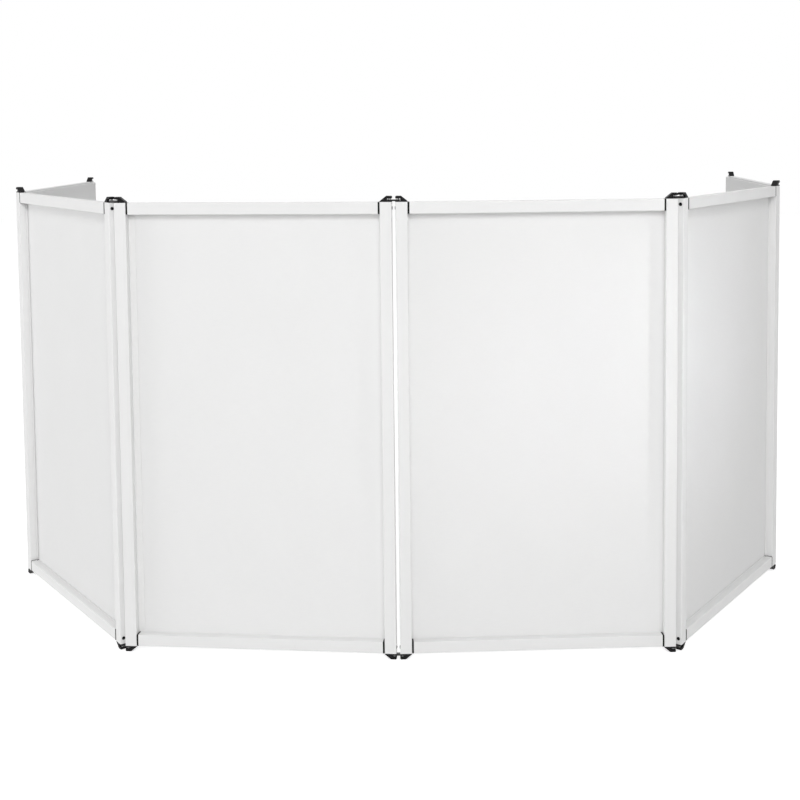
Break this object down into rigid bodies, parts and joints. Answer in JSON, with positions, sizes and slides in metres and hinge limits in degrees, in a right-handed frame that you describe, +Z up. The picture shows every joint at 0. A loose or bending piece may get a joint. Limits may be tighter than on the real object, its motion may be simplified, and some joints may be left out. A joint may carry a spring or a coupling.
{
  "type": "folding dj facade",
  "caption": "Folding screen of framed white fabric panels for the front of a DJ table, hinged edge to edge and set up as an open C",
  "frame": {"origin": "on the floor, under the middle of the bounding box of the facade as set up", "axes": "+X to the right seen from the audience, -Y towards the audience, +Z up"},
  "size_m": [2.4498, 1.4476, 1.2514],
  "materials": {
    "bars": "satin",
    "corners": "matte",
    "scrim": "matte",
    "hinges": "satin"
  },
  "bodies": {
    "front_left": {"front_left_stile_l": "bars", "front_left_stile_r": "bars", "front_left_rail_top": "bars", "front_left_rail_bottom": "bars", "front_left_corner_tl": "corners", "front_left_corner_tr": "corners", "front_left_corner_bl": "corners", "front_left_corner_br": "corners", "front_left_scrim": "scrim"},
    "wing_left": {"wing_left_stile_l": "bars", "wing_left_stile_r": "bars", "wing_left_rail_top": "bars", "wing_left_rail_bottom": "bars", "wing_left_corner_tl": "corners", "wing_left_corner_tr": "corners", "wing_left_corner_bl": "corners", "wing_left_corner_br": "corners", "wing_left_scrim": "scrim"},
    "side_left": {"side_left_stile_l": "bars", "side_left_stile_r": "bars", "side_left_rail_top": "bars", "side_left_rail_bottom": "bars", "side_left_corner_tl": "corners", "side_left_corner_tr": "corners", "side_left_corner_bl": "corners", "side_left_corner_br": "corners", "side_left_scrim": "scrim"},
    "front_right": {"front_right_stile_l": "bars", "front_right_stile_r": "bars", "front_right_rail_top": "bars", "front_right_rail_bottom": "bars", "front_right_corner_tl": "corners", "front_right_corner_tr": "corners", "front_right_corner_bl": "corners", "front_right_corner_br": "corners", "front_right_scrim": "scrim"},
    "side_right": {"side_right_stile_l": "bars", "side_right_stile_r": "bars", "side_right_rail_top": "bars", "side_right_rail_bottom": "bars", "side_right_corner_tl": "corners", "side_right_corner_tr": "corners", "side_right_corner_bl": "corners", "side_right_corner_br": "corners", "side_right_scrim": "scrim"},
    "wing_right": {"wing_right_stile_l": "bars", "wing_right_stile_r": "bars", "wing_right_rail_top": "bars", "wing_right_rail_bottom": "bars", "wing_right_corner_tl": "corners", "wing_right_corner_tr": "corners", "wing_right_corner_bl": "corners", "wing_right_corner_br": "corners", "wing_right_scrim": "scrim"},
    "left_wing_link": {"left_wing_hinge_frame": "hinges"},
    "left_link": {"left_hinge_frame": "hinges"},
    "centre_link": {"centre_hinge_frame": "hinges"},
    "right_link": {"right_hinge_frame": "hinges"},
    "right_wing_link": {"right_wing_hinge_frame": "hinges"}
  },
  "joints": [
    {"name": "centre_inner_pin", "type": "hinge", "parent": "front_left", "child": "centre_link", "pos_m": [0.00227, -0.71451, 0.6257], "axis": [0, 0, 1], "range_deg": [-93.85, 28.15]},
    {"name": "centre_outer_pin", "type": "hinge", "parent": "centre_link", "child": "front_right", "pos_m": [0.02427, -0.71451, 0.6257], "axis": [0, 0, -1], "range_deg": [-28.15, 93.85]},
    {"name": "right_inner_pin", "type": "hinge", "parent": "front_right", "child": "right_link", "pos_m": [0.75961, -0.66503, 0.6257], "axis": [0, 0, 1], "range_deg": [-116.15, 5.85]},
    {"name": "right_outer_pin", "type": "hinge", "parent": "right_link", "child": "side_right", "pos_m": [0.77866, -0.65403, 0.6257], "axis": [0, 0, -1], "range_deg": [-5.85, 116.15]},
    {"name": "right_wing_inner_pin", "type": "hinge", "parent": "side_right", "child": "right_wing_link", "pos_m": [1.18918, -0.04195, 0.6257], "axis": [0, 0, 1], "range_deg": [-106.15, 15.85]},
    {"name": "right_wing_outer_pin", "type": "hinge", "parent": "right_wing_link", "child": "wing_right", "pos_m": [1.19587, -0.02099, 0.6257], "axis": [0, 0, -1], "range_deg": [-15.85, 106.15]},
    {"name": "left_inner_pin", "type": "hinge", "parent": "front_left", "child": "left_link", "pos_m": [-0.73307, -0.66503, 0.6257], "axis": [0, 0, -1], "range_deg": [-113.95, 8.05]},
    {"name": "left_outer_pin", "type": "hinge", "parent": "left_link", "child": "side_left", "pos_m": [-0.75253, -0.65477, 0.6257], "axis": [0, 0, 1], "range_deg": [-8.05, 113.95]},
    {"name": "left_wing_inner_pin", "type": "hinge", "parent": "side_left", "child": "left_wing_link", "pos_m": [-1.2088, -0.07599, 0.6257], "axis": [0, 0, -1], "range_deg": [-109.5, 12.5]},
    {"name": "left_wing_outer_pin", "type": "hinge", "parent": "left_wing_link", "child": "wing_left", "pos_m": [-1.21587, -0.05515, 0.6257], "axis": [0, 0, 1], "range_deg": [-12.5, 109.5]}
  ]
}
